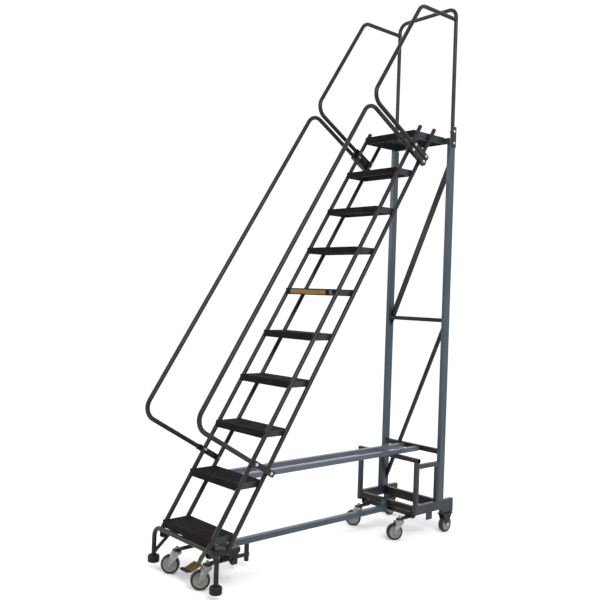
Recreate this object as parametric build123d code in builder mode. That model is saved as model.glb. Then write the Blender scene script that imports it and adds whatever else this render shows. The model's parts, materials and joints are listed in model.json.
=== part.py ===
from build123d import *
from math import atan2, cos, degrees, hypot, radians, sin, sqrt
import os

os.makedirs("parts", exist_ok=True)

# Ten-step rolling ladder: nine treads and a platform.  X is across the ladder,
# Y runs from the climber's side (-) to the tower (+), Z is up from the floor.
# The origin is on the floor, in the middle of the footprint.

# ---- stair ----
tread_count = 9
rise = 254.0                 # height of one step
run = 166.9                  # depth gained by one step
slope = run / rise
first_top = 281.0            # top of tread 1 above the floor
first_nose = -931.0          # front face of tread 1
tread_depth = 167.0
tread_height = 38.0
nose_half = 203.0            # half width of the nose, in front of the stringers
sheet = 2.5                  # steel sheet of treads and platform
mat = 3.0                    # ribbed anti-slip cover

# ---- tubes ----
tube_r = 12.7                # round tube, one inch
tube_wall = 1.8
box = 25.4                   # square tube, one inch
box_wall = 1.8
strut = 31.75                # square tube, one and a quarter inch
base_strut = 28.0            # square tube of the two long struts
gap = 0.3                    # between parts that only lie side by side

# ---- stringers ----
stringer_x = 207.7
front_stringer_y = -1083.0   # where the front stringer's axis meets the floor
stringer_spacing = 118.6     # front to rear axis, square to the slope
stringer_top = 2595.0

# ---- handrails ----
rail_x = stringer_x + 2 * tube_r + gap
rail_offset = 456.0          # run of the handrail above the front stringer, square to the slope
rail_bend = 75.0
leg_lean = 0.060             # legs lean a little up the slope
lower_leg = 728.0            # along-slope places of the legs, square on the front stringer
lower_rail_top_leg = 2878.0
upper_rail_leg = lower_rail_top_leg + 41.0
upper_rail_z = 3336.0

# ---- tower ----
post_x = 232.4
post_y = 915.5
post_deep = 50.8
post_top = 2560.0
guard_y = post_y + 7.5
guard_top = 3412.0
guard_bend = 58.0
mid_z = 1377.0
low_z = 528.0
base_strut_x = 62.0
base_strut_z = 522.0

# ---- base ----
rail_bottom = 155.0
rail_top = 212.0
rail_back = 1046.0
cage_y = 670.0               # front legs of the cage
cage_top = 482.0
side_bar_z = 455.0
spine_z = 150.0

# ---- front foot frame ----
foot_x = 279.0
foot_y = first_nose
foot_bar_z = 226.0
foot_bend = 52.0
foot_gap = 36.0              # feet above the floor while the casters carry the ladder
foot_r = 32.5
foot_height = 38.0

# ---- casters and lift ----
wheel_r = 50.8
wheel_width = 31.0
axle_r = 5.0
stem_r = 6.0
running = 0.06               # radial clearance of shafts, stems and axles
trail = 34.0                 # axle behind the swivel axis
caster_top = 124.0
shaft_r = 13.5
shaft_z = 146.0
lever = 28.0
lever_x = -27.0
front_shaft_y = -768.0
rear_shaft_y = 684.5
front_stem = (136.0, -878.0)
rear_stem = (173.0, 594.0)
arm_thick = 10.0
rear_wheel_y = 981.0
caster_turn = {
    "front_left": -46.0,
    "front_right": -33.0,
    "rear_left": -52.0,
    "rear_right": -28.0,
}

# unit vectors of the stair in the side view: up the slope, and square to it towards the tower
slope_len = hypot(slope, 1.0)
up_y, up_z = slope / slope_len, 1.0 / slope_len
in_y, in_z = up_z, -up_y


def stair_point(x, along, across):
    """Point at a distance up the slope from the front stringer's foot and square to it."""
    return (x, front_stringer_y + along * up_y + across * in_y, along * up_z + across * in_z)


def save(part, name):
    part.label = name
    export_step(part, f"parts/{name}.step")


def round_tube(points, radius, wall, bend=None):
    """Round tube along a polyline, with equal bends at its corners."""
    with BuildPart() as tube:
        with BuildLine() as path:
            if bend:
                FilletPolyline(*points, radius=bend)
            else:
                Line(points[0], points[1])
        with BuildSketch(Plane(origin=path.line @ 0, z_dir=path.line % 0)):
            Circle(radius)
            if wall:
                Circle(radius - wall, mode=Mode.SUBTRACT)
        sweep(path=path.line)
    return tube.part


def box_tube(start, end, wide, deep, wall=box_wall, side=(1, 0, 0)):
    """Straight box section from start to end; wide is measured along side."""
    axis = Vector(*end) - Vector(*start)
    with BuildPart() as tube:
        with BuildSketch(Plane(origin=start, x_dir=side, z_dir=axis)):
            Rectangle(wide, deep)
            if wall:
                Rectangle(wide - 2 * wall, deep - 2 * wall, mode=Mode.SUBTRACT)
        extrude(amount=axis.length)
    return tube.part


def rod(start, end, radius):
    """Solid round bar."""
    return round_tube([start, end], radius, 0)


def plate(x0, x1, y0, y1, z0, z1):
    """Rectangular block between its two corners."""
    with BuildPart() as block:
        with BuildSketch(Plane.XY.offset(z0)):
            with Locations(((x0 + x1) / 2, (y0 + y1) / 2)):
                Rectangle(abs(x1 - x0), y1 - y0)
        extrude(amount=z1 - z0)
    return block.part


# ------------------------------------------------------------------ bolts
# Through bolts run across the ladder: clamp bolts through saddle, rail and stringer,
# bracket bolts through the guard rail's joint plates.
bolt_r = 4.0
bolt_places = []
for side in (-1, 1):
    for leg in (lower_leg, lower_rail_top_leg, upper_rail_leg):
        for across in (0.0, stringer_spacing):
            along = leg + leg_lean * (rail_offset + across)
            bolt_places.append((side, stair_point(0, along, across)))


def clamp_holes(side):
    """Drill sizes for every clamp bolt of one side."""
    return [
        rod((side * 180, y, z), (side * 270, y, z), bolt_r + 0.2)
        for s, (_, y, z) in bolt_places
        if s == side
    ]


def drilled(part, tools):
    """The part with each tool cut out of it."""
    with BuildPart() as cut:
        add(part)
        for tool in tools:
            add(tool, mode=Mode.SUBTRACT)
    return cut.part


# ------------------------------------------------------------------ front foot frame
def make_front_foot_tube():
    points = [
        (-foot_x, foot_y, foot_gap + foot_height - 14),
        (-foot_x, foot_y, foot_bar_z),
        (foot_x, foot_y, foot_bar_z),
        (foot_x, foot_y, foot_gap + foot_height - 14),
    ]
    return round_tube(points, tube_r, tube_wall, foot_bend)


def make_rubber_feet():
    """Two ribbed rubber cups on the legs of the foot tube."""
    with BuildPart() as feet:
        for side in (-1, 1):
            with BuildSketch(Plane.XY.offset(foot_gap)):
                with Locations((side * foot_x, foot_y)):
                    Circle(foot_r)
            extrude(amount=foot_height)
        fillet(feet.edges().filter_by(GeomType.CIRCLE).group_by(Axis.Z)[-1], 6)
        fillet(feet.edges().filter_by(GeomType.CIRCLE).group_by(Axis.Z)[0], 3)
        for side in (-1, 1):
            with BuildSketch(Plane.XY.offset(foot_gap + foot_height - 14)):
                with Locations((side * foot_x, foot_y)):
                    Circle(tube_r)
            extrude(amount=20, mode=Mode.SUBTRACT)
    return feet.part


side_member_top = foot_bar_z - tube_r
side_member_z = side_member_top - box / 2
side_member_back = front_shaft_y + 34.0


def make_front_side_members():
    """Two box rails under the stringers' feet, with hanging lugs that carry the lift shaft."""
    with BuildPart() as members:
        for side in (-1, 1):
            x = side * stringer_x
            front = foot_y - 4
            add(box_tube((x, front, side_member_z), (x, side_member_back, side_member_z), box, box))
            with BuildSketch(Plane.YZ.offset(x - 3)):
                with BuildLine():
                    Polyline(
                        (front_shaft_y - 34, side_member_z - box / 2),
                        (front_shaft_y - 21, shaft_z - 10),
                        (front_shaft_y - 10, shaft_z - 21),
                        (front_shaft_y + 10, shaft_z - 21),
                        (front_shaft_y + 21, shaft_z - 10),
                        (front_shaft_y + 34, side_member_z - box / 2),
                        close=True,
                    )
                make_face()
                with Locations((front_shaft_y, shaft_z)):
                    Circle(shaft_r + running, mode=Mode.SUBTRACT)
            extrude(amount=6)
    return members.part


def make_front_cross_member():
    y = side_member_back - box / 2
    inner = stringer_x - box / 2
    return box_tube((-inner, y, side_member_z), (inner, y, side_member_z), box, box, side=(0, 1, 0))


def make_foot_struts():
    """Slanting struts from each leg up to the side members."""
    with BuildPart() as struts:
        for side in (-1, 1):
            low = (side * foot_x, foot_y, 86)
            high = (side * (stringer_x + 2), foot_y + 58, side_member_z)
            with BuildPart(mode=Mode.PRIVATE) as one:
                add(rod(low, high, 9.5))
                add(
                    rod((side * foot_x, foot_y, 40), (side * foot_x, foot_y, 200), tube_r),
                    mode=Mode.SUBTRACT,
                )
                add(
                    plate(
                        side * (stringer_x - box / 2), side * (stringer_x + box / 2),
                        foot_y - 20, side_member_back,
                        side_member_z - box / 2, side_member_top,
                    ),
                    mode=Mode.SUBTRACT,
                )
            add(one.part.solids().sort_by(SortBy.VOLUME)[-1])
    return struts.part


# ------------------------------------------------------------------ stringers
def make_stringer(side, front):
    """Round tube up one side of the stair; the foot is cut to sit on the foot frame."""
    across = 0 if front else stringer_spacing
    x = side * stringer_x
    start = stair_point(x, 150, across)
    end = stair_point(x, (stringer_top - across * in_z) / up_z, across)
    tube = round_tube([start, end], tube_r, tube_wall)
    tools = clamp_holes(side)
    if front:
        tools.append(plate(x - 30, x + 30, foot_y - 120, foot_y + 60, -50, foot_bar_z))
        tools.append(rod((x - 30, foot_y, foot_bar_z), (x + 30, foot_y, foot_bar_z), tube_r))
    else:
        tools.append(plate(x - 30, x + 30, foot_y - 120, foot_y + 240, -50, side_member_top))
    return drilled(tube, tools)


# ------------------------------------------------------------------ treads and platform
def stringer_tools():
    """All four stringers as solid bars, a little oversize, to notch sheet metal."""
    tools = []
    for side in (-1, 1):
        for across in (0, stringer_spacing):
            start = stair_point(side * stringer_x, 150, across)
            end = stair_point(side * stringer_x, 3200, across)
            tools.append(rod(start, end, tube_r + gap))
    return tools


def sheet_pan(nose, back, top, height, half):
    """Folded pan, open below: top, nose lip, back flange and two end plates."""
    with BuildPart() as pan:
        with BuildSketch(Plane.XY.offset(top - mat - (height - mat))):
            with Locations((0, (nose + mat + back) / 2)):
                Rectangle(2 * half, back - nose - mat)
            with Locations((0, nose + mat + 6)):
                Rectangle(2 * nose_half, 12)
        extrude(amount=height - mat)
        with BuildSketch(Plane.XY.offset(top - height)):
            with Locations((0, (nose + mat + back) / 2)):
                Rectangle(2 * (half - sheet), back - nose - mat - 2 * sheet)
        extrude(amount=height - mat - sheet, mode=Mode.SUBTRACT)
    return pan.part


def anti_slip_cover(nose, back, top, height, half):
    """Ribbed cover over the top and down the nose, wider in front of the stringers."""
    rib = 12.0
    with BuildPart() as cover:
        with BuildSketch(Plane.XY.offset(top - mat)):
            with Locations((0, (nose + back) / 2)):
                Rectangle(2 * half, back - nose)
            with Locations((0, nose + (mat + 12) / 2)):
                Rectangle(2 * nose_half, mat + 12)
        extrude(amount=mat)
        with BuildSketch(Plane.XY.offset(top - height)):
            with Locations((0, nose + mat / 2)):
                Rectangle(2 * nose_half, mat)
        extrude(amount=height - mat)
        with BuildSketch(Plane.XY.offset(top - 1.0)):
            count = int((back - nose - 20) / rib)
            with Locations((0, nose + 14 + rib * count / 2)):
                with GridLocations(1, rib, 1, count):
                    Rectangle(2 * half - 30, 4)
        extrude(amount=1.0, mode=Mode.SUBTRACT)
    return cover.part


pan_half = stringer_x - tube_r - gap
platform_nose = first_nose + tread_count * run
platform_top = first_top + tread_count * rise
platform_back = post_y - post_deep / 2
platform_height = 46.0


def tread_place(number):
    """Nose and top of a tread, counted from 1 at the floor."""
    return first_nose + (number - 1) * run, first_top + (number - 1) * rise


def make_tread(number):
    nose, top = tread_place(number)
    return drilled(sheet_pan(nose, nose + tread_depth, top, tread_height, pan_half), notches)


def make_platform():
    """Deeper pan that reaches the posts, with ears on its back flange."""
    pan = sheet_pan(platform_nose, platform_back, platform_top, platform_height, pan_half)
    front = platform_back - 4
    low = platform_top - platform_height
    high = platform_top - mat - sheet
    with BuildPart() as platform:
        add(drilled(pan, notches))
        for side in (-1, 1):
            add(plate(side * pan_half, side * (post_x + 4), front, platform_back, low, high))
    return platform.part


def make_tread_mats():
    with BuildPart() as mats:
        for number in range(1, tread_count + 1):
            nose, top = tread_place(number)
            add(drilled(anti_slip_cover(nose, nose + tread_depth, top, tread_height, pan_half), notches))
        cover = anti_slip_cover(platform_nose, platform_back, platform_top, platform_height, pan_half)
        add(drilled(cover, notches))
    return mats.part


# ------------------------------------------------------------------ handrails
leg_end = stringer_spacing + 26.0


def leg_point(x, leg, across):
    return stair_point(x, leg + leg_lean * (rail_offset + across), across)


def make_lower_handrail(side):
    x = side * rail_x
    points = [
        leg_point(x, lower_leg, leg_end),
        leg_point(x, lower_leg, -rail_offset),
        leg_point(x, lower_rail_top_leg, -rail_offset),
        leg_point(x, lower_rail_top_leg, leg_end),
    ]
    return drilled(round_tube(points, tube_r, tube_wall, rail_bend), clamp_holes(side))


def make_upper_handrail(side):
    """Leg, run up the slope, then level back to the guard rail, coped round its upright."""
    x = side * rail_x
    corner = stair_point(x, (upper_rail_z + rail_offset * in_z) / up_z, -rail_offset)
    points = [
        leg_point(x, upper_rail_leg, leg_end),
        leg_point(x, upper_rail_leg, -rail_offset),
        corner,
        (x, guard_y, upper_rail_z),
    ]
    tools = clamp_holes(side)
    guard = rod((side * post_x, guard_y, 3000), (side * post_x, guard_y, 3500), tube_r + 0.1)
    behind = plate(x - 30, x + 30, guard_y, guard_y + 40, 3200, 3450)
    return drilled(round_tube(points, tube_r, tube_wall, rail_bend), tools + [guard, behind])


saddle_wall = 3.0
saddle_inner = 2 * tube_r + 0.6


def make_saddle(side, leg):
    """Channel over the rail's leg, its web outside, reaching past both stringers."""
    low = leg_point(side * rail_x, leg, -24)
    high = leg_point(side * rail_x, leg, stringer_spacing + 22)
    web = tube_r + gap
    with BuildPart() as saddle:
        axis = Vector(*high) - Vector(*low)
        with BuildSketch(Plane(origin=low, x_dir=(side, 0, 0), z_dir=axis)):
            with Locations(((web + saddle_wall - 12) / 2, 0)):
                Rectangle(web + saddle_wall + 12, saddle_inner + 2 * saddle_wall)
            with Locations(((web - 14) / 2, 0)):
                Rectangle(web + 14, saddle_inner, mode=Mode.SUBTRACT)
        extrude(amount=axis.length)
    return drilled(saddle.part, clamp_holes(side))


def make_clamps(legs):
    with BuildPart() as clamps:
        for side in (-1, 1):
            for leg in legs:
                add(make_saddle(side, leg))
    return clamps.part


# ------------------------------------------------------------------ guard rail and its joint plates
joint_low = post_top - 58.0
joint_high = post_top + 76.0
joint_bolts = (post_top - 30.0, post_top + 46.0)


def joint_holes():
    return [
        rod((side * 180, guard_y, z), (side * 280, guard_y, z), bolt_r + 0.2)
        for side in (-1, 1)
        for z in joint_bolts
    ]


def make_guard_rail():
    points = [
        (-post_x, guard_y, post_top),
        (-post_x, guard_y, guard_top),
        (post_x, guard_y, guard_top),
        (post_x, guard_y, post_top),
    ]
    return drilled(round_tube(points, tube_r, tube_wall, guard_bend), joint_holes())


def make_joint_plates():
    """Flat plates outside that join each post to the guard rail's upright."""
    with BuildPart() as plates:
        for side in (-1, 1):
            inner = side * (post_x + tube_r)
            outer = side * (post_x + tube_r + 4)
            add(plate(inner, outer, guard_y - 21, guard_y + 21, joint_low, joint_high))
    return drilled(plates.part, joint_holes())


def make_bolts():
    """Hex head bolts and nuts: clamp bolts and guard rail joint bolts."""
    with BuildPart() as bolts:
        for side, (_, y, z) in bolt_places:
            add(bolt(side, y, z, rail_x + tube_r + gap + saddle_wall, stringer_x - tube_r))
        for side in (-1, 1):
            for z in joint_bolts:
                add(bolt(side, guard_y, z, post_x + tube_r + 4, post_x - tube_r))
    return bolts.part


def bolt(side, y, z, outer, inner):
    """One bolt across the ladder, its head outside and its nut inside."""
    with BuildPart() as one:
        with BuildSketch(Plane(origin=(side * outer, y, z), x_dir=(0, 1, 0), z_dir=(side, 0, 0))):
            RegularPolygon(7.5, 6)
        extrude(amount=5.5)
        with BuildSketch(Plane(origin=(side * outer, y, z), x_dir=(0, 1, 0), z_dir=(-side, 0, 0))):
            Circle(bolt_r)
        extrude(amount=outer - inner)
        with BuildSketch(Plane(origin=(side * inner, y, z), x_dir=(0, 1, 0), z_dir=(-side, 0, 0))):
            RegularPolygon(7.5, 6)
        extrude(amount=6.5)
    return one.part


# ------------------------------------------------------------------ tower
def make_post(side):
    x = side * post_x
    tube = box_tube((x, post_y, rail_top), (x, post_y, post_top), box, post_deep)
    return drilled(tube, joint_holes())


bar_y = post_y - post_deep / 2 + box / 2
brace_y = bar_y + box / 2 + 0.2 + 6.35
post_inner = post_x - box / 2


def make_crossbar(z, height):
    return box_tube((-post_inner, bar_y, z), (post_inner, bar_y, z), box, height, side=(0, 1, 0))


def make_diagonal(z_left, z_right, wide):
    """Flat box section across the back of the tower, cut square by the posts."""
    left = (-post_inner - 40, brace_y, z_left - 40 * (z_right - z_left) / (2 * post_inner))
    right = (post_inner + 40, brace_y, z_right + 40 * (z_right - z_left) / (2 * post_inner))
    tube = box_tube(left, right, 12.7, wide, side=(0, 1, 0))
    tools = [
        plate(side * post_inner, side * (post_inner + 120), brace_y - 20, brace_y + 20, 0, 2600)
        for side in (-1, 1)
    ]
    return drilled(tube, tools)


def make_base_struts():
    """Two level tubes that tie the stair to the tower, from the back of tread 2 to the lower bar."""
    front = first_nose + run + tread_depth
    back = bar_y - box / 2
    with BuildPart() as struts:
        for side in (-1, 1):
            x = side * base_strut_x
            add(box_tube((x, front, base_strut_z), (x, back, base_strut_z), base_strut, base_strut))
    return struts.part


# ------------------------------------------------------------------ base
def make_side_rail(side):
    """Deep rail under the post, with a pad under its back end for the fixed wheel."""
    x = side * post_x
    front = cage_y + box / 2
    z = (rail_bottom + rail_top) / 2
    with BuildPart() as rail:
        add(box_tube((x, front, z), (x, rail_back, z), box, rail_top - rail_bottom))
        add(plate(x - box / 2, x + box / 2, rear_wheel_y - 50, rail_back, caster_top, rail_bottom))
        add(plate(x - 3, x + 3, front + 100, front + 156, rail_bottom - 50, rail_bottom))
    return rail.part


def make_cage_frame(side):
    """Front leg, side bar and back leg of the cage."""
    x = side * post_x
    back = post_y - post_deep / 2
    with BuildPart() as frame:
        add(box_tube((x, cage_y, rail_bottom), (x, cage_y, cage_top), box, box))
        add(box_tube((x, cage_y + box / 2, side_bar_z), (x, back, side_bar_z), box, box))
        leg_y = back - box / 2
        add(box_tube((x, leg_y, rail_top), (x, leg_y, side_bar_z - box / 2), box, box))
    return frame.part


def make_cage_top_bar():
    z = cage_top + box / 2
    half = post_x + box / 2 + 5
    return box_tube((-half, cage_y, z), (half, cage_y, z), box, box, side=(0, 1, 0))


spine_top = spine_z + strut / 2


def make_base_cross_rails():
    """Front rail with two lugs for the rear lift shaft, and deep rear rail between the posts."""
    front_high = 36.0
    front_z = spine_top + 22
    rear_z = (rail_bottom + rail_top) / 2
    rear_high = rail_top - rail_bottom
    low_z = front_z - front_high / 2 + 0.1
    half = post_inner
    across = (0, 1, 0)
    with BuildPart() as rails:
        add(box_tube((-half, cage_y, front_z), (half, cage_y, front_z), box, front_high, side=across))
        add(box_tube((-half, post_y, rear_z), (half, post_y, rear_z), box, rear_high, side=across))
        for x in (-208, 202):
            with BuildSketch(Plane.YZ.offset(x)):
                with BuildLine():
                    Polyline(
                        (cage_y - 12, low_z),
                        (rear_shaft_y - 21, shaft_z - 10),
                        (rear_shaft_y - 10, shaft_z - 21),
                        (rear_shaft_y + 10, shaft_z - 21),
                        (rear_shaft_y + 21, shaft_z - 10),
                        (rear_shaft_y + 21, shaft_z + 8),
                        (cage_y + 12, low_z),
                        close=True,
                    )
                make_face()
                with Locations((rear_shaft_y, shaft_z)):
                    Circle(shaft_r + running, mode=Mode.SUBTRACT)
            extrude(amount=6)
    return rails.part


def make_base_spine():
    """Long tube down the middle of the base, hung from the cross rails by a block at each end."""
    front = side_member_back - 12
    back = cage_y - box / 2
    with BuildPart() as spine:
        add(box_tube((0, front, spine_z), (0, back, spine_z), strut, strut))
        add(plate(-12, 12, front, side_member_back, spine_top, side_member_z - box / 2))
        add(plate(-12, 12, back - 24, back, spine_top, spine_top + 35))
    return spine.part


centre_leg_y = (-586.0, -507.0)


def make_centre_legs():
    """Two short legs under the spine, a flat tie bar between them and rubber tips."""
    low = foot_gap
    with BuildPart() as legs:
        for y in centre_leg_y:
            add(box_tube((0, y, low + 14), (0, y, spine_z - strut / 2), 19, 19))
        add(plate(9.5, 14.5, centre_leg_y[0] - 96, centre_leg_y[1] + 8, low + 30, low + 50))
        for y in centre_leg_y:
            with BuildSketch(Plane.XY.offset(low)):
                with Locations((0, y)):
                    Circle(13)
            extrude(amount=14)
    return legs.part


# ------------------------------------------------------------------ caster lift
def lift_shaft(shaft_y, half, stem):
    """Cross shaft with two welded caster arms and the lever of the link."""
    stem_x, stem_y = stem
    with BuildPart() as shaft:
        add(rod((-half, shaft_y, shaft_z), (half, shaft_y, shaft_z), shaft_r))
        for side in (-1, 1):
            add(plate(side * (stem_x - 15), side * (stem_x + 15), stem_y - 20, shaft_y, caster_top,
                      caster_top + arm_thick))
            add(plate(side * (stem_x - 15), side * (stem_x + 15), shaft_y - 22, shaft_y + 6, caster_top,
                      shaft_z))
        with BuildSketch(Plane.YZ.offset(lever_x - 3)):
            with Locations((shaft_y, shaft_z - lever / 2)):
                Rectangle(18, lever)
            with Locations((shaft_y, shaft_z - lever)):
                Circle(9)
        extrude(amount=6)
        add(rod((lever_x - 12, shaft_y, shaft_z - lever), (lever_x, shaft_y, shaft_z - lever), 4))
    holes = [
        rod((side * stem_x, stem_y, 90), (side * stem_x, stem_y, 170), stem_r + running)
        for side in (-1, 1)
    ]
    return drilled(shaft.part, holes)


def make_foot_pedal():
    """Treadle on a bent flat arm, clamped round the lift shaft, with a rubber tip."""
    y = front_shaft_y
    with BuildPart() as pedal:
        with BuildSketch(Plane.YZ.offset(-4)):
            with BuildLine():
                Polyline(
                    (y - 2, shaft_z + 22), (y - 21, shaft_z + 6), (y - 58, 118), (y - 72, 92), (y - 72, 78),
                    (y - 54, 80), (y - 30, 112), (y - 2, shaft_z - 22), close=True,
                )
            make_face()
            with Locations((y, shaft_z)):
                Circle(22)
            with Locations((y, shaft_z)):
                Circle(shaft_r, mode=Mode.SUBTRACT)
        extrude(amount=8)
        with BuildSketch(Plane.YZ.offset(-34)):
            with BuildLine():
                Polyline(
                    (y - 66, 84), (y - 136, 60), (y - 162, 68), (y - 160, 73), (y - 136, 66), (y - 68, 90),
                    close=True,
                )
            make_face()
        extrude(amount=68)
    return pedal.part


def make_lift_link():
    """Long push rod with an upright slot at each end for the lever pins."""
    x = lever_x - 3 - 0.5
    z = shaft_z - lever
    with BuildPart() as link:
        add(rod((x - 4, front_shaft_y + 16, z), (x - 4, rear_shaft_y - 16, z), 4))
        for y in (front_shaft_y, rear_shaft_y):
            with BuildSketch(Plane.YZ.offset(x)):
                with Locations((y, z)):
                    Rectangle(36, 20)
                    SlotOverall(13.0, 2 * (4 + gap), rotation=90, mode=Mode.SUBTRACT)
            extrude(amount=-5)
    return link.part


# ------------------------------------------------------------------ casters
def make_wheel(centre, turn):
    """Wheel with a crowned tread and recessed hub, turned about an axle along local X."""
    x, y, z = centre
    plane = Plane(origin=centre, x_dir=(cos(radians(turn)), sin(radians(turn)), 0), z_dir=(0, 0, 1))
    half = wheel_width / 2
    with BuildPart() as wheel:
        with BuildSketch(Plane(origin=plane.origin, x_dir=plane.x_dir, z_dir=-plane.y_dir)):
            with BuildLine():
                Polyline(
                    (half - 4, axle_r + running), (half - 4, 12), (half - 8, 15), (half - 8, 36),
                    (half - 1, 38), (half, 44),
                )
                Spline((half, 44), (0, wheel_r), (-half, 44))
                Polyline(
                    (-half, 44), (1 - half, 38), (8 - half, 36), (8 - half, 15), (4 - half, 12),
                    (4 - half, axle_r + running), (half - 4, axle_r + running),
                )
            make_face()
        revolve(axis=Axis(centre, plane.x_dir))
    return wheel.part


def cheeks(local, top_z, wide, offset):
    """Two tapered side plates of a fork, from its crown down to the axle boss."""
    inner = wheel_width / 2 + 2.5
    with BuildPart() as pair:
        for x in (-inner - 3, inner):
            with BuildSketch(Plane(origin=local.origin + local.x_dir * x, x_dir=local.y_dir,
                                   z_dir=local.x_dir)):
                with BuildLine():
                    Polyline(
                        (offset - wide / 2, top_z), (-9, wheel_r), (-9, wheel_r - 4), (0, wheel_r - 12),
                        (9, wheel_r - 4), (9, wheel_r), (offset + wide / 2, top_z), close=True,
                    )
                make_face()
            extrude(amount=3)
    return pair.part


def make_swivel_fork(stem, turn):
    """Caster fork on a threaded stem: swivel head, crown, two cheeks, axle and nuts."""
    stem_x, stem_y = stem
    local = Plane(
        origin=(stem_x + trail * sin(radians(turn)), stem_y - trail * cos(radians(turn)), 0),
        x_dir=(cos(radians(turn)), sin(radians(turn)), 0), z_dir=(0, 0, 1),
    )
    crown_half = wheel_width / 2 + 5.5
    with BuildPart() as fork:
        with BuildSketch(Plane.XY.offset(caster_top - 9)):
            with Locations((stem_x, stem_y)):
                Circle(23)
        extrude(amount=9 - gap)
        with BuildSketch(Plane(origin=local.origin + Vector(0, 0, caster_top - 16), x_dir=local.x_dir,
                               z_dir=(0, 0, 1))):
            with Locations((0, trail - 4)):
                Rectangle(2 * crown_half, 54)
        extrude(amount=7)
        add(cheeks(local, caster_top - 9, 54, trail - 4))
        add(rod(local.origin + Vector(0, 0, wheel_r) - local.x_dir * (crown_half + 6),
                local.origin + Vector(0, 0, wheel_r) + local.x_dir * (crown_half + 6), axle_r))
        add(rod((stem_x, stem_y, caster_top - 4), (stem_x, stem_y, caster_top + 24), stem_r))
        with BuildSketch(Plane.XY.offset(caster_top + arm_thick + gap)):
            with Locations((stem_x, stem_y)):
                RegularPolygon(10, 6)
        extrude(amount=9)
    return fork.part, local


def make_fixed_fork(side):
    """Rigid fork under the back end of the side rail: top plate, tapered cheeks and axle."""
    local = Plane(origin=(side * post_x, rear_wheel_y, 0), x_dir=(1, 0, 0), z_dir=(0, 0, 1))
    with BuildPart() as fork:
        add(plate(side * post_x - 24, side * post_x + 24, rear_wheel_y - 52, rear_wheel_y + 52,
                  caster_top - 6, caster_top))
        add(cheeks(local, caster_top - 6, 92, 0))
        x = side * post_x
        add(rod((x - 26, rear_wheel_y, wheel_r), (x + 26, rear_wheel_y, wheel_r), axle_r))
    return fork.part


# ------------------------------------------------------------------ build every piece
notches = stringer_tools()
save(make_front_foot_tube(), "front_foot_tube")
save(make_rubber_feet(), "rubber_feet")
save(make_front_side_members(), "front_side_members")
save(make_front_cross_member(), "front_cross_member")
save(make_foot_struts(), "foot_struts")
sides = {"left": -1, "right": 1}
for side_name, side in sides.items():
    save(make_stringer(side, True), f"{side_name}_front_stringer")
    save(make_stringer(side, False), f"{side_name}_rear_stringer")
    save(make_lower_handrail(side), f"{side_name}_lower_handrail")
    save(make_upper_handrail(side), f"{side_name}_upper_handrail")
    save(make_post(side), f"{side_name}_post")
    save(make_side_rail(side), f"{side_name}_side_rail")
    save(make_cage_frame(side), f"{side_name}_cage_frame")
    save(make_fixed_fork(side), f"{side_name}_fixed_fork")
    save(make_wheel((side * post_x, rear_wheel_y, wheel_r), 0), f"{side_name}_fixed_wheel")
for number in range(1, tread_count + 1):
    save(make_tread(number), f"tread_{number}")
save(make_platform(), "platform")
save(make_tread_mats(), "tread_mats")
save(make_clamps([lower_leg]), "lower_clamps")
save(make_clamps([lower_rail_top_leg, upper_rail_leg]), "upper_clamps")
save(make_guard_rail(), "guard_rail")
save(make_joint_plates(), "guard_rail_plates")
save(make_bolts(), "bolts")
save(make_diagonal(mid_z - 12, 2385.0, 36.0), "upper_diagonal")
save(make_crossbar(mid_z, box), "middle_crossbar")
save(make_diagonal(286.0, 1341.0, 24.0), "lower_diagonal")
save(make_crossbar(low_z, strut), "lower_crossbar")
save(make_base_struts(), "base_struts")
save(make_cage_top_bar(), "cage_top_bar")
save(make_base_cross_rails(), "base_cross_rails")
save(make_base_spine(), "base_spine")
save(make_centre_legs(), "centre_legs")
save(lift_shaft(front_shaft_y, stringer_x + 8, front_stem), "front_lift_shaft")
save(lift_shaft(rear_shaft_y, 212.0, rear_stem), "rear_lift_shaft")
save(make_foot_pedal(), "foot_pedal")
save(make_lift_link(), "lift_link")
for place, turn in caster_turn.items():
    stem_x, stem_y = front_stem if place.startswith("front") else rear_stem
    side = sides[place.split("_")[1]]
    fork, local = make_swivel_fork((side * stem_x, stem_y), turn)
    save(fork, f"{place}_fork")
    save(make_wheel((local.origin.X, local.origin.Y, wheel_r), turn), f"{place}_wheel")
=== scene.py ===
import json

import bmesh
import bpy
import numpy as np
from mathutils import Matrix, Vector


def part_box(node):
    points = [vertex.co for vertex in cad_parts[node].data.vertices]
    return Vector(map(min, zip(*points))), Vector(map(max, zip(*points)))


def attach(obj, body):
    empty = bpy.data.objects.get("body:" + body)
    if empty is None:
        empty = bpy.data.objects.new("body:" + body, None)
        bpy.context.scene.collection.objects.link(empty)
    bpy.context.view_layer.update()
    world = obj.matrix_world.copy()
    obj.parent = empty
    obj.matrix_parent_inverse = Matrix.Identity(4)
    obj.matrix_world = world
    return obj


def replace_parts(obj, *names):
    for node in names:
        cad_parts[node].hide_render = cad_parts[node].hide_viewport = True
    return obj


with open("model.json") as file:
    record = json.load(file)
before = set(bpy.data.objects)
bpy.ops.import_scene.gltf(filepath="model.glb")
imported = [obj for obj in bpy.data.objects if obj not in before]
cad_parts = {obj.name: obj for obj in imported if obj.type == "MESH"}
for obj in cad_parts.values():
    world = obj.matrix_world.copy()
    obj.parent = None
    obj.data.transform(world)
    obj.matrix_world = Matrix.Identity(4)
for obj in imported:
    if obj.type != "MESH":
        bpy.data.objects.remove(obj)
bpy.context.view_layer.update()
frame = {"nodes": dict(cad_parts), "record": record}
nodes = frame["nodes"]
joints = {joint["name"]: joint for joint in frame["record"]["behaviour"]["joints"]}


# ------------------------------------------------------------------
# Stringers, handrails and guard rail: one inch steel tube, bent cold, welded and
# powder coated in a glossy charcoal.  The coat has a fine orange peel, dulled patches where
# hands and boots rub it, and a little dust near the floor.
def wire(tree, start, end):
    tree.links.new(start, end)


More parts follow.
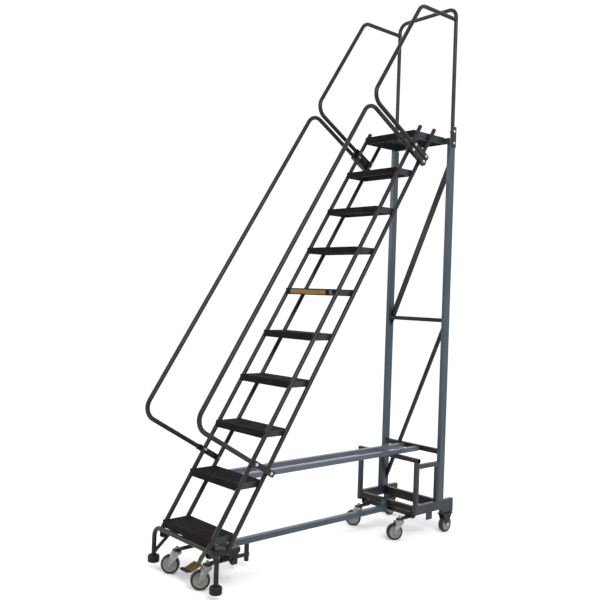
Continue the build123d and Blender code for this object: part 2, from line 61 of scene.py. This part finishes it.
def new_group(name, inputs, outputs):
    """Empty shader node group with float or colour sockets."""
    group = bpy.data.node_groups.new(name, "ShaderNodeTree")
    for label, kind, value in inputs:
        socket = group.interface.new_socket(label, in_out="INPUT", socket_type=kind)
        socket.default_value = value
    for label, kind in outputs:
        group.interface.new_socket(label, in_out="OUTPUT", socket_type=kind)
    group.nodes.new("NodeGroupInput")
    group.nodes.new("NodeGroupOutput")
    return group


def object_noise(tree, scale, detail=3.0, stretch=None):
    """Noise on the piece's own coordinates, in metres; stretch squeezes it along the axes."""
    place = tree.nodes.new("ShaderNodeTexCoord")
    noise = tree.nodes.new("ShaderNodeTexNoise")
    noise.inputs["Detail"].default_value = detail
    if stretch:
        mapping = tree.nodes.new("ShaderNodeMapping")
        mapping.inputs["Scale"].default_value = stretch
        wire(tree, place.outputs["Object"], mapping.inputs["Vector"])
        wire(tree, mapping.outputs["Vector"], noise.inputs["Vector"])
    else:
        wire(tree, place.outputs["Object"], noise.inputs["Vector"])
    if isinstance(scale, (int, float)):
        noise.inputs["Scale"].default_value = scale
    else:
        wire(tree, scale, noise.inputs["Scale"])
    return noise.outputs["Fac"]


def soft_step(tree, value, low, high):
    """0 below low, 1 above high, smooth between."""
    step = tree.nodes.new("ShaderNodeMapRange")
    step.interpolation_type = "SMOOTHSTEP"
    step.inputs["From Min"].default_value = low
    step.inputs["From Max"].default_value = high
    wire(tree, value, step.inputs["Value"])
    return step.outputs["Result"]


def make_peel_group():
    """Normal of a sprayed or baked skin: fine noise as height."""
    group = new_group(
        "skin_texture",
        [("Scale", "NodeSocketFloat", 700.0), ("Strength", "NodeSocketFloat", 0.1)],
        [("Normal", "NodeSocketVector")],
    )
    inside = group.nodes["Group Input"].outputs
    height = object_noise(group, inside["Scale"], 2.0)
    bump = group.nodes.new("ShaderNodeBump")
    bump.inputs["Distance"].default_value = 0.0004
    wire(group, inside["Strength"], bump.inputs["Strength"])
    wire(group, height, bump.inputs["Height"])
    wire(group, bump.outputs["Normal"], group.nodes["Group Output"].inputs["Normal"])
    return group


def make_rub_group():
    """Mask of dulled patches: broad noise times fine noise, sharpened; Amount widens the patches."""
    group = new_group(
        "rubbed_patches",
        [("Amount", "NodeSocketFloat", 0.3)],
        [("Mask", "NodeSocketFloat")],
    )
    broad = object_noise(group, 6.0, 2.0)
    fine = object_noise(group, 90.0, 6.0, (1.0, 1.0, 0.35))
    both = group.nodes.new("ShaderNodeMath")
    both.operation = "MULTIPLY"
    wire(group, broad, both.inputs[0])
    wire(group, fine, both.inputs[1])
    patches = soft_step(group, both.outputs[0], 0.24, 0.38)
    scaled = group.nodes.new("ShaderNodeMath")
    scaled.operation = "MULTIPLY"
    scaled.use_clamp = True
    wire(group, patches, scaled.inputs[0])
    wire(group, group.nodes["Group Input"].outputs["Amount"], scaled.inputs[1])
    wire(group, scaled.outputs[0], group.nodes["Group Output"].inputs["Mask"])
    return group


def make_dust_group():
    """Mask of dust: most near the floor and on faces that look up, broken by noise."""
    group = new_group(
        "settled_dust",
        [("Amount", "NodeSocketFloat", 0.3)],
        [("Mask", "NodeSocketFloat")],
    )
    place = group.nodes.new("ShaderNodeTexCoord")
    parts = group.nodes.new("ShaderNodeSeparateXYZ")
    wire(group, place.outputs["Object"], parts.inputs["Vector"])
    low = group.nodes.new("ShaderNodeMapRange")
    low.inputs["From Min"].default_value = 0.45
    low.inputs["From Max"].default_value = 0.0
    wire(group, parts.outputs["Z"], low.inputs["Value"])
    facing = group.nodes.new("ShaderNodeSeparateXYZ")
    wire(group, place.outputs["Normal"], facing.inputs["Vector"])
    upward = soft_step(group, facing.outputs["Z"], 0.3, 0.95)
    total = group.nodes.new("ShaderNodeMath")
    total.operation = "ADD"
    wire(group, low.outputs["Result"], total.inputs[0])
    wire(group, upward, total.inputs[1])
    broken = group.nodes.new("ShaderNodeMath")
    broken.operation = "MULTIPLY"
    wire(group, total.outputs[0], broken.inputs[0])
    wire(group, soft_step(group, object_noise(group, 45.0, 5.0), 0.35, 0.7), broken.inputs[1])
    scaled = group.nodes.new("ShaderNodeMath")
    scaled.operation = "MULTIPLY"
    scaled.use_clamp = True
    wire(group, broken.outputs[0], scaled.inputs[0])
    wire(group, group.nodes["Group Input"].outputs["Amount"], scaled.inputs[1])
    wire(group, scaled.outputs[0], group.nodes["Group Output"].inputs["Mask"])
    return group


skin_texture = make_peel_group()
rubbed_patches = make_rub_group()
settled_dust = make_dust_group()


def use_group(tree, group, **values):
    node = tree.nodes.new("ShaderNodeGroup")
    node.node_tree = group
    for label, value in values.items():
        node.inputs[label].default_value = value
    return node


def mix_colour(tree, mask, first, second):
    """first where the mask is 0, second where it is 1; each is a colour or a socket."""
    mix = tree.nodes.new("ShaderNodeMix")
    mix.data_type = "RGBA"
    for place, colour in (("A", first), ("B", second)):
        socket = [s for s in mix.inputs if s.name == place and s.type == "RGBA"][0]
        if isinstance(colour, tuple):
            socket.default_value = (*colour, 1.0)
        else:
            wire(tree, colour, socket)
    wire(tree, mask, mix.inputs["Factor"])
    return [s for s in mix.outputs if s.type == "RGBA"][0]


def ramp_value(tree, mask, low, high):
    """A plain value that goes from low to high with the mask."""
    step = tree.nodes.new("ShaderNodeMapRange")
    step.inputs["To Min"].default_value = low
    step.inputs["To Max"].default_value = high
    wire(tree, mask, step.inputs["Value"])
    return step.outputs["Result"]


DUST = (0.32, 0.29, 0.26)


def finish(name, base, tint, rough=(0.3, 0.5), rub=0.5, dust=0.2, peel=(700.0, 0.1), tone=9.0,
           metallic=0.0, coat=0.0, specular=0.5):
    """Material whose base drifts to a tint, goes dull where rubbed and greys where dust lies."""
    material = bpy.data.materials.new(name)
    material.use_nodes = True
    tree = material.node_tree
    shader = tree.nodes["Principled BSDF"]
    shader.inputs["Metallic"].default_value = metallic
    shader.inputs["Coat Weight"].default_value = coat
    shader.inputs["Coat Roughness"].default_value = 0.12
    shader.inputs["Specular IOR Level"].default_value = specular
    drift = soft_step(tree, object_noise(tree, tone, 4.0), 0.35, 0.65)
    worn = use_group(tree, rubbed_patches, Amount=rub)
    dusty = use_group(tree, settled_dust, Amount=dust)
    toned = mix_colour(tree, drift, base, tint)
    dusted = mix_colour(tree, dusty.outputs["Mask"], toned, DUST)
    wire(tree, dusted, shader.inputs["Base Color"])
    wire(tree, ramp_value(tree, worn.outputs["Mask"], *rough), shader.inputs["Roughness"])
    skin = use_group(tree, skin_texture, Scale=peel[0], Strength=peel[1])
    wire(tree, skin.outputs["Normal"], shader.inputs["Normal"])
    return material


def dress(material, *names):
    """Give the CAD nodes of these names the material."""
    for name in names:
        for slot in nodes[name].material_slots:
            slot.material = material


tube_paint = finish(
    "charcoal_powder_coat", (0.008, 0.007, 0.007), (0.015, 0.012, 0.012),
    rough=(0.28, 0.42), rub=0.4, dust=0.02, peel=(650.0, 0.05), coat=0.05, specular=0.2,
)
dress(
    tube_paint,
    "left_front_stringer", "left_rear_stringer", "right_front_stringer", "right_rear_stringer",
    "left_lower_handrail", "right_lower_handrail", "left_upper_handrail", "right_upper_handrail",
    "guard_rail", "lower_clamps", "upper_clamps", "guard_rail_plates",
)

# ------------------------------------------------------------------
# Tower posts and spine: square and oblong steel tube in the same charcoal coat, whose cool blue-grey
# base colour is painted reflection of the room on the flat sides.  The long struts face the sky and get
# a paler copy: painted light from above.
# Blue-grey base: painted reflection of the room on the charcoal coat.
box_tube_painted_reflection = finish(
    "charcoal_coat_painted_reflection", (0.028, 0.042, 0.055), (0.040, 0.056, 0.072),
    rough=(0.28, 0.42), rub=0.4, dust=0.02, peel=(500.0, 0.05), tone=3.0, coat=0.08, specular=0.22,
)
dress(
    box_tube_painted_reflection,
    "left_post", "right_post", "base_spine",
)
# Same coat again, made paler: painted light on the struts that face the sky.
strut_painted_skylight = finish(
    "charcoal_coat_painted_skylight", (0.050, 0.062, 0.082), (0.068, 0.083, 0.105),
    rough=(0.28, 0.42), rub=0.4, dust=0.03, peel=(500.0, 0.05), tone=3.0, coat=0.1, specular=0.3,
)
dress(strut_painted_skylight, "base_struts")

# ------------------------------------------------------------------
# Crossbars, diagonals, cross rails, foot frame and the lift's shafts: the same steel and coat, turned
# from the light, so their nearly black base with a warm cast is painted shade.  The rigid forks, painted
# black, share it.
# Near-black base: painted shade on the charcoal coat, and the real black of the rigid forks.
shaded_dark_coat = finish(
    "dark_coat_with_painted_shade", (0.005, 0.0045, 0.005), (0.010, 0.008, 0.009),
    rough=(0.32, 0.46), rub=0.4, dust=0.02, peel=(600.0, 0.06), coat=0.03, specular=0.18,
)
dress(
    shaded_dark_coat,
    "cage_top_bar", "base_cross_rails", "front_foot_tube", "foot_struts", "middle_crossbar",
    "lower_crossbar", "upper_diagonal",
    "lower_diagonal", "front_side_members", "front_cross_member", "centre_legs",
    "front_lift_shaft", "rear_lift_shaft", "left_fixed_fork", "right_fixed_fork",
)

# ------------------------------------------------------------------
# Treads and platform: folded steel pans, welded between the stringers.  Only their end plates
# and undersides show; each carries a ribbed, gritty cover that wraps over the nose.  The low
# cage and the side rails take the same dark pan colour as painted shade on the low parts.
pan_coat_and_low_shade = finish(
    "pan_coat_and_painted_low_shade", (0.014, 0.018, 0.023), (0.022, 0.027, 0.033),
    rough=(0.32, 0.46), rub=0.4, dust=0.02, peel=(500.0, 0.05), coat=0.04, specular=0.2,
)
tread_count = sum(name.startswith("tread_") and name[6:].isdigit() for name in nodes)
treads = [f"tread_{number + 1}" for number in range(tread_count)]
# Pans in their own dark colour; the cage frames and side rails get it as painted shade.
dress(
    pan_coat_and_low_shade, "platform", *treads, "left_cage_frame", "right_cage_frame", "left_side_rail",
    "right_side_rail",
)


def grit_material():
    """Matte brown-black cover with hard grains: two noises as height."""
    material = finish(
        "gritty_cover", (0.005, 0.003, 0.003), (0.009, 0.006, 0.0055),
        rough=(0.66, 0.82), rub=0.5, dust=0.01, peel=(1500.0, 0.5), tone=14.0, specular=0.06,
    )
    tree = material.node_tree
    shader = tree.nodes["Principled BSDF"]
    grain = tree.nodes.new("ShaderNodeTexVoronoi")
    grain.inputs["Scale"].default_value = 520.0
    place = tree.nodes.new("ShaderNodeTexCoord")
    wire(tree, place.outputs["Object"], grain.inputs["Vector"])
    bump = tree.nodes.new("ShaderNodeBump")
    bump.inputs["Distance"].default_value = 0.0006
    bump.inputs["Strength"].default_value = 0.5
    wire(tree, grain.outputs["Distance"], bump.inputs["Height"])
    skin = shader.inputs["Normal"].links[0].from_socket
    wire(tree, skin, bump.inputs["Normal"])
    wire(tree, bump.outputs["Normal"], shader.inputs["Normal"])
    return material


cover_grit = grit_material()
dress(cover_grit, "tread_mats")


# ------------------------------------------------------------------
# Notice strip: a blank yellow vinyl strip with a small violet patch at its end, stuck to the
# nose of the sixth step.
def surface(name, points, close_u=False, close_v=False, smooth=True):
    """Mesh from a grid of points (rows, columns, 3); rows or columns may close on themselves."""
    rows, columns = points.shape[:2]
    index = np.arange(rows * columns).reshape(rows, columns)
    if close_u:
        index = np.vstack([index, index[:1]])
    if close_v:
        index = np.hstack([index, index[:, :1]])
    quads = np.stack([index[:-1, :-1], index[:-1, 1:], index[1:, 1:], index[1:, :-1]], axis=-1)
    mesh = bpy.data.meshes.new(name)
    mesh.from_pydata(points.reshape(-1, 3).tolist(), [], quads.reshape(-1, 4).tolist())
    mesh.polygons.foreach_set("use_smooth", np.full(len(mesh.polygons), smooth))
    mesh.validate()
    return mesh


def piece(name, meshes, material, body):
    """Join meshes into one object that rides on a body."""
    joined = bmesh.new()
    for mesh in meshes:
        joined.from_mesh(mesh)
        bpy.data.meshes.remove(mesh)
    bmesh.ops.remove_doubles(joined, verts=joined.verts, dist=1e-6)
    bmesh.ops.recalc_face_normals(joined, faces=joined.faces)
    mesh = bpy.data.meshes.new(name)
    joined.to_mesh(mesh)
    joined.free()
    mesh.materials.append(material)
    made = bpy.data.objects.new(name, mesh)
    bpy.context.scene.collection.objects.link(made)
    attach(made, body)
    return made


def pillow(name, centre, half, power=8.0, steps=(48, 24)):
    """Rounded block: a superellipsoid, each half size times a signed root of sine or cosine."""
    u = np.linspace(-np.pi, np.pi, steps[0], endpoint=False)[None, :]
    v = np.linspace(-np.pi / 2, np.pi / 2, steps[1])[:, None]

    def root(value):
        return np.sign(value) * np.abs(value) ** (2.0 / power)

    x = root(np.cos(v)) * root(np.cos(u)) * half[0]
    y = root(np.cos(v)) * root(np.sin(u)) * half[1]
    z = root(np.sin(v)) * half[2] * np.ones_like(u)
    points = np.stack([x, y, z], axis=-1) + np.array(centre)
    return surface(name, points, close_v=True, smooth=False)


step_low, step_high = (np.array(corner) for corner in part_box("tread_6"))
strip_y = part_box("tread_mats")[0][1] + (step_low[1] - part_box("tread_1")[0][1]) - 0.0002
strip_z = (step_low[2] + step_high[2]) / 2 + 0.001
strip_yellow = finish(
    "yellow_vinyl", (0.19, 0.105, 0.010), (0.15, 0.080, 0.008),
    rough=(0.35, 0.5), rub=0.5, dust=0.02, peel=(900.0, 0.05), specular=0.2,
)
strip_violet = finish(
    "violet_vinyl", (0.040, 0.028, 0.090), (0.055, 0.036, 0.11), rough=(0.35, 0.5), rub=0.5,
    dust=0.05, peel=(900.0, 0.05),
)
strip = pillow("notice_strip", (-0.013, strip_y, strip_z), (0.148, 0.0005, 0.0125), 30.0)
piece("notice_strip", [strip], strip_yellow, "ladder")
patch = pillow("notice_patch", (0.176, strip_y, strip_z), (0.011, 0.0005, 0.0120), 30.0)
piece("notice_patch", [patch], strip_violet, "ladder")

# ------------------------------------------------------------------
# Clamp and joint bolts: zinc-plated hex bolts with chamfered heads, washers under the heads
# and nuts on the inside.
zinc = finish(
    "bright_zinc", (0.62, 0.63, 0.66), (0.50, 0.51, 0.52), rough=(0.22, 0.45), rub=0.8, dust=0.05,
    peel=(400.0, 0.06), tone=60.0, metallic=1.0,
)


def carried(profile, centre, axis, shape=None, steps=48, name="turned"):
    """Profile of (distance along the axis, radius) turned about the axis.

    Each ring's radius is the profile's radius times shape(angle), 1 all round if there's no shape.
    """
    axis = np.array(Vector(axis).normalized())
    side = np.array(Vector(axis).orthogonal().normalized())
    third = np.cross(axis, side)
    along, radius = np.array(profile, dtype=float).T
    angle = np.linspace(0, 2 * np.pi, steps, endpoint=False)
    factor = np.ones((len(along), steps)) if shape is None else shape(angle, radius)
    ring = np.cos(angle)[:, None] * side + np.sin(angle)[:, None] * third
    points = np.array(centre) + along[:, None, None] * axis
    points = points + (radius[:, None] * factor)[..., None] * ring
    return surface(name, points, close_v=True)


def hexagon(flat):
    """Ring shape with six flats: the radius never passes flat / cos(angle from the flat's middle)."""
    def shape(angle, radius):
        from_middle = (angle + np.pi / 6) % (np.pi / 3) - np.pi / 6
        limit = flat / np.cos(from_middle)
        return np.minimum(1.0, limit[None, :] / np.maximum(radius[:, None], 1e-6))
    return shape


def hex_head(centre, axis, height, flat=0.0065, point=0.0075):
    """Head whose corners are cut by a 30 degree chamfer; a hex limit on a turned profile."""
    chamfer = 0.0009
    profile = [
        (0.0, 0.0), (0.0, flat * 0.97), (0.0003, point), (height - chamfer, point),
        (height, flat * 0.93), (height, 0.0),
    ]
    return carried(profile, centre, axis, hexagon(flat), 72)


def washer(centre, axis, inner, outer, thick):
    """Flat ring with broken edges."""
    edge = thick * 0.25
    profile = [
        (0, inner), (0, outer - edge), (edge, outer), (thick - edge, outer), (thick, outer - edge),
        (thick, inner), (0, inner),
    ]
    return carried(profile, centre, axis)


def bolt_places(side):
    """Middle of each bolt of one side, in y and z, and the places of head and nut in x."""
    bolts = nodes["bolts"].data
    points = np.empty(len(bolts.vertices) * 3)
    bolts.vertices.foreach_get("co", points)
    points = points.reshape(-1, 3)
    points = points[points[:, 0] * side > 0]
    places = []
    while len(points):
        near = np.hypot(*(points[:, 1:] - points[0, 1:]).T) < 0.020
        low, high = points[near].min(axis=0), points[near].max(axis=0)
        places.append(((low + high) / 2, low[0], high[0]))
        points = points[~near]
    return places


bolt_meshes = []
for side in (-1, 1):
    for middle, low_x, high_x in bolt_places(side):
        ends = sorted((low_x, high_x), key=abs)
        head_seat = (ends[1] - side * 0.0055, middle[1], middle[2])
        nut_seat = (ends[0] + side * 0.0065, middle[1], middle[2])
        bolt_meshes.append(washer(head_seat, (side, 0, 0), 0.0040, 0.0092, 0.0014))
        outward = (head_seat[0] + side * 0.0014, middle[1], middle[2])
        bolt_meshes.append(hex_head(outward, (side, 0, 0), 0.0041))
        bolt_meshes.append(hex_head(nut_seat, (-side, 0, 0), 0.0060))
        length = abs(head_seat[0] - nut_seat[0])
        shank = [(0, 0), (0, 0.0038), (length, 0.0038), (length, 0)]
        bolt_meshes.append(carried(shank, head_seat, (-side, 0, 0), None, 24))
bolts = piece("clamp_bolts", bolt_meshes, zinc, "ladder")
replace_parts(bolts, "bolts")

# ------------------------------------------------------------------
# Tube plugs: black moulded caps pushed into the open ends of the stringers and of the
# handrails' legs, with a domed face and a thin collar.
plug_black = finish(
    "moulded_plug", (0.006, 0.006, 0.006), (0.011, 0.010, 0.010),
    rough=(0.4, 0.55), rub=0.4, dust=0.02, peel=(1100.0, 0.15), specular=0.2,
)
tube_radius = 0.0127
rise_run = np.array(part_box("tread_2")[1]) - np.array(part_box("tread_1")[1])
climb = rise_run / np.linalg.norm(rise_run)


def plug(centre, axis):
    """Collar the size of the tube, then a dome: radius times the root of one minus height squared."""
    height = np.linspace(0, 1, 9)
    dome = [(0.0018 + 0.0030 * h, tube_radius * 0.93 * np.sqrt(1 - h * h)) for h in height]
    profile = [(-0.004, 0), (-0.004, tube_radius * 0.85), (0, tube_radius * 0.85), (0, tube_radius)]
    profile += [(0.0014, tube_radius)] + dome
    return carried(profile, centre, axis)


plug_meshes = []
for side_name in ("left", "right"):
    for place in ("front", "rear"):
        low, high = (np.array(corner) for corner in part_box(f"{side_name}_{place}_stringer"))
        end = np.array([
            (low[0] + high[0]) / 2,
            high[1] - tube_radius * climb[2],
            high[2] - tube_radius * climb[1],
        ])
        plug_meshes.append(plug(end, climb))
stringer_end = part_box("left_front_stringer")[1]
stringer_at = np.array([
    0, stringer_end[1] - tube_radius * climb[2], stringer_end[2] - tube_radius * climb[1],
])
stringer_foot = stringer_at - climb * stringer_at[2] / climb[2]
inward = np.array([0, climb[2], -climb[1]])
leg_lean = 0.060
rail_depth = 0.456
leg_end = 0.1446
leg_places = {"lower": (0.728, 2.878), "upper": (2.919,)}
leg_axis = inward + leg_lean * climb
for height, places in leg_places.items():
    for along in places:
        along = along + leg_lean * (rail_depth + leg_end)
        for side_name in ("left", "right"):
            low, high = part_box(f"{side_name}_{height}_handrail")
            end = stringer_foot + climb * along + inward * leg_end
            end[0] = (low[0] + high[0]) / 2
            plug_meshes.append(plug(end, leg_axis))
piece("tube_plugs", plug_meshes, plug_black, "ladder")

# ------------------------------------------------------------------
# Rubber feet: moulded cups on the legs of the foot frame, with a fluted skirt and a rounded
# shoulder that grips the tube.
foot_rubber = finish(
    "foot_rubber", (0.005, 0.005, 0.005), (0.010, 0.009, 0.009),
    rough=(0.55, 0.75), rub=0.6, dust=0.04, peel=(800.0, 0.3), tone=30.0, specular=0.15,
)
feet_low, feet_high = (np.array(corner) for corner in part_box("rubber_feet"))
foot_radius = (feet_high[1] - feet_low[1]) / 2
foot_height = feet_high[2] - feet_low[2]


def flutes(angle, radius):
    """Shallow flutes: the radius dips with the cosine of 20 times the angle on the skirt only."""
    skirt = np.clip((radius[:, None] / foot_radius - 0.93) / 0.05, 0, 1)
    return 1 - 0.022 * skirt * (1 + np.cos(20 * angle))[None, :]


turn = np.linspace(0, np.pi / 2, 7)
foot_profile = [(0.0, 0.0), (0.0, foot_radius * 0.90), (0.0015, foot_radius * 0.955)]
foot_profile += [(0.003, foot_radius), (0.011, foot_radius), (0.012, foot_radius * 0.95)]
foot_profile += [(0.0145, foot_radius * 0.95), (0.0155, foot_radius), (foot_height - 0.010, foot_radius)]
foot_profile += [
    (foot_height - 0.010 + 0.010 * np.sin(a), foot_radius - 0.010 * (1 - np.cos(a))) for a in turn
]
foot_profile += [
    (foot_height, tube_radius + 0.006), (foot_height - 0.002, tube_radius + 0.001),
    (foot_height - 0.012, tube_radius + 0.001), (foot_height - 0.012, 0.0),
]
foot_meshes = []
for x in (feet_low[0] + foot_radius, feet_high[0] - foot_radius):
    centre = (x, (feet_low[1] + feet_high[1]) / 2, feet_low[2])
    foot_meshes.append(carried(foot_profile, centre, (0, 0, 1), flutes, 160))
feet = piece("rubber_feet_fluted", foot_meshes, foot_rubber, "ladder")
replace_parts(feet, "rubber_feet")

# ------------------------------------------------------------------
# Wheels: a black tyre pressed over a moulded grey-green hub with a raised boss, six shallow
# ribs and a steel bearing sleeve.  Four swivel and two are rigid.
tyre_black = finish(
    "tyre_rubber", (0.010, 0.009, 0.007), (0.018, 0.016, 0.012),
    rough=(0.45, 0.65), rub=0.8, dust=0.03, peel=(900.0, 0.2), tone=40.0, specular=0.2,
)
hub_grey = finish(
    "hub_moulding", (0.20, 0.21, 0.18), (0.15, 0.16, 0.135),
    rough=(0.35, 0.55), rub=0.8, dust=0.08, peel=(900.0, 0.08), tone=30.0, specular=0.3,
)
wheel_radius = 0.0508
wheel_half = 0.0155
hub_radius = 0.0395


def tyre(centre, axis):
    """Crowned tyre: half width and radius follow a squared-off half turn; a groove by each shoulder."""
    angle = np.linspace(0, np.pi, 33)
    along = wheel_half * np.sign(np.cos(angle)) * np.abs(np.cos(angle)) ** 0.55
    depth = wheel_radius - hub_radius
    radius = hub_radius + depth * np.sin(angle) ** 0.42
    radius = radius - 0.0006 * np.exp(-(((np.abs(along) - 0.0105) / 0.0008) ** 2))
    profile = list(zip(along, radius)) + [(along[0], radius[0])]
    return carried(profile, centre, axis, None, 96)


def hub(centre, axis):
    """Both faces: sleeve, boss, ribbed web and rim; the web stands out by a power of cosine 3 angle."""
    steps = 120
    axis = np.array(Vector(axis).normalized())
    side = np.array(Vector(axis).orthogonal().normalized())
    third = np.cross(axis, side)
    angle = np.linspace(0, 2 * np.pi, steps, endpoint=False)
    radius = np.array([5.4, 11.0, 12.2, 13.4, 16.0, 20.0, 25.0, 29.5, 31.5, 33.0, 38.3, 39.6]) / 1000
    face = np.array([13.0, 13.0, 12.6, 9.5, 7.0, 6.6, 6.6, 7.2, 9.5, 13.2, 13.6, 12.6]) / 1000
    web = np.exp(-(((radius - 0.0225) / 0.0065) ** 4))
    rib = 0.0032 * np.cos(3 * angle) ** 16
    meshes = []
    for way in (-1, 1):
        out = (face[:, None] + web[:, None] * rib[None, :]) * way
        ring = np.cos(angle)[:, None] * side + np.sin(angle)[:, None] * third
        points = np.array(centre) + out[..., None] * axis + radius[:, None, None] * ring
        meshes.append(surface("hub_face", points if way > 0 else points[:, ::-1], close_v=True))
    meshes.append(carried([(-0.0130, 0.0054), (0.0130, 0.0054)], centre, axis, None, steps))
    meshes.append(carried([(-0.0126, 0.0396), (0.0126, 0.0396)], centre, axis, None, steps))
    return meshes


rolling = {name[:-5]: joint for name, joint in joints.items() if name.endswith("_roll")}
for place, joint in rolling.items():
    centre, axis = joint["pos_m"], joint["axis"]
    wheel_body = joint["child"]
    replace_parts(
        piece(f"{place}_tyre", [tyre(centre, axis)], tyre_black, wheel_body), wheel_body
    )
    piece(f"{place}_hub", hub(centre, axis), hub_grey, wheel_body)

# ------------------------------------------------------------------
# Caster forks: pressed steel, zinc plated, with a ball race between the fork's crown and the
# arm and hex nuts on the axle.  The rigid rear forks are painted.
fork_zinc = finish(
    "caster_zinc_plate", (0.31, 0.30, 0.32), (0.20, 0.19, 0.19), rough=(0.36, 0.58), rub=0.7,
    dust=0.12, peel=(350.0, 0.10), tone=45.0, metallic=1.0,
)
axle_seat = 0.0212
washer_thick = 0.0014
washer_size = (0.0050, 0.0098, washer_thick)
nut_size = (0.0046, 0.0072, 0.0083)
swivels = {name[:-7]: joint for name, joint in joints.items() if name.endswith("_swivel")}
for place, joint in swivels.items():
    dress(fork_zinc, f"{place}_fork")
    stem = np.array(joint["pos_m"])
    race = [
        (-0.0009, 0.0100), (-0.0132, 0.0100), (-0.0132, 0.0235), (-0.0128, 0.0246),
        (-0.0095, 0.0250), (-0.0085, 0.0238), (-0.0075, 0.0238), (-0.0065, 0.0246),
        (-0.0030, 0.0242), (-0.0012, 0.0222), (-0.0009, 0.0100),
    ]
    made = [carried(race, stem, (0, 0, 1), None, 64)]
    roll = rolling[place]
    for way in (-1, 1):
        axle = np.array(roll["pos_m"]) + way * axle_seat * np.array(roll["axis"])
        axle_axis = way * np.array(roll["axis"])
        made.append(washer(axle, axle_axis, *washer_size))
        made.append(hex_head(axle + washer_thick * axle_axis, axle_axis, *nut_size))
    piece(f"{place}_race_and_nuts", made, fork_zinc, f"{place}_fork")

for place in ("left_fixed", "right_fixed"):
    roll = rolling[place]
    made = []
    for way in (-1, 1):
        axle_axis = np.array([way, 0, 0])
        axle = np.array(roll["pos_m"]) + axle_seat * axle_axis
        made.append(washer(axle, axle_axis, *washer_size))
        made.append(hex_head(axle + washer_thick * axle_axis, axle_axis, *nut_size))
    piece(f"{place}_axle_nuts", made, zinc, "ladder")

dress(zinc, "lift_link")

# ------------------------------------------------------------------
# Foot pedal: a bent steel treadle in safety yellow with raised studs, and a black rubber lip
# that the toe finds first.
pedal_yellow = finish(
    "pedal_yellow", (0.16, 0.11, 0.020), (0.10, 0.070, 0.015),
    rough=(0.4, 0.65), rub=0.9, dust=0.05, peel=(500.0, 0.25), tone=50.0, specular=0.25,
)
dress(pedal_yellow, "foot_pedal")
pedal_low, pedal_high = (np.array(corner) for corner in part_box("foot_pedal"))
plate_from = np.array([pedal_low[1] + 0.026 + 0.006, 0.0673])
plate_to = np.array([pedal_low[1] + 0.094 - 0.006, 0.0880])
studs = []
for row in np.linspace(0.08, 0.92, 7):
    for x in np.linspace(pedal_low[0] + 0.008, pedal_high[0] - 0.008, 6):
        y, z = plate_from + row * (plate_to - plate_from)
        dome = [(0.0012 * np.sin(a), 0.0026 * np.cos(a)) for a in np.linspace(0, np.pi / 2, 5)]
        studs.append(carried(dome, (x, y, z - 0.0004), (0, -0.29, 0.957), None, 12))
piece("pedal_studs", studs, pedal_yellow, "front_lift")
lip = pillow(
    "pedal_lip",
    (0.0, pedal_low[1] + 0.011, pedal_low[2] + 0.0088),
    (pedal_high[0] + 0.001, 0.0125, 0.0060),
    5.0,
)
piece("pedal_lip", [lip], foot_rubber, "front_lift")

# ------------------------------------------------------------------
# Studio: a pale plain floor, soft white light from all sides, one broad lamp from the front
# right and one from the left, and the camera.
floor_mesh = surface(
    "floor",
    np.array([[[-30, -30, 0], [-30, 30, 0]], [[30, -30, 0], [30, 30, 0]]], dtype=float),
    smooth=False,
)
floor_mesh.flip_normals()
floor = bpy.data.objects.new("floor", floor_mesh)
bpy.context.scene.collection.objects.link(floor)
floor_white = bpy.data.materials.new("floor_white")
floor_white.use_nodes = True
floor_white.node_tree.nodes["Principled BSDF"].inputs["Base Color"].default_value = (0.97, 0.97, 0.97, 1)
floor_white.node_tree.nodes["Principled BSDF"].inputs["Roughness"].default_value = 0.9
floor_white.node_tree.nodes["Principled BSDF"].inputs["Specular IOR Level"].default_value = 0.1
floor_mesh.materials.append(floor_white)

world = bpy.data.worlds.new("studio")
bpy.context.scene.world = world
world.use_nodes = True
world.node_tree.nodes["Background"].inputs["Color"].default_value = (0.97, 0.98, 1.0, 1)
world.node_tree.nodes["Background"].inputs["Strength"].default_value = 1.10


def soft_lamp(name, place, target, size, power):
    """Square area lamp aimed at a point."""
    light = bpy.data.lights.new(name, "AREA")
    light.size = size
    light.energy = power
    lamp = bpy.data.objects.new(name, light)
    lamp.location = place
    lamp.rotation_euler = (Vector(target) - Vector(place)).to_track_quat("-Z", "Y").to_euler()
    bpy.context.scene.collection.objects.link(lamp)


soft_lamp("key_lamp", (4.5, -2.0, 5.0), (0, 0, 1.5), 3.0, 220)
soft_lamp("fill_lamp", (-4.0, -3.5, 3.5), (0, 0, 1.5), 3.0, 90)

camera_place = Vector((3.2816, -3.2720, 1.5179))
camera_yaw, camera_pitch, camera_roll = np.radians((49.552, 0.372, 2.006))
forward = Vector((
    -np.sin(camera_yaw) * np.cos(camera_pitch), np.cos(camera_yaw) * np.cos(camera_pitch),
    np.sin(camera_pitch),
))
level = Vector((np.cos(camera_yaw), np.sin(camera_yaw), 0))
upright = level.cross(forward)
right = level * np.cos(camera_roll) + upright * np.sin(camera_roll)
above = upright * np.cos(camera_roll) - level * np.sin(camera_roll)
camera = bpy.data.objects.new("camera", bpy.data.cameras.new("camera"))
turned = Matrix((right, above, -forward)).transposed().to_4x4()
camera.matrix_world = Matrix.Translation(camera_place) @ turned
camera.data.sensor_width = 36.0
camera.data.lens = 46.54
camera.data.shift_x = 0.0662
camera.data.shift_y = -0.0212
bpy.context.scene.collection.objects.link(camera)
bpy.context.scene.camera = camera
bpy.context.scene.view_settings.view_transform = "Standard"
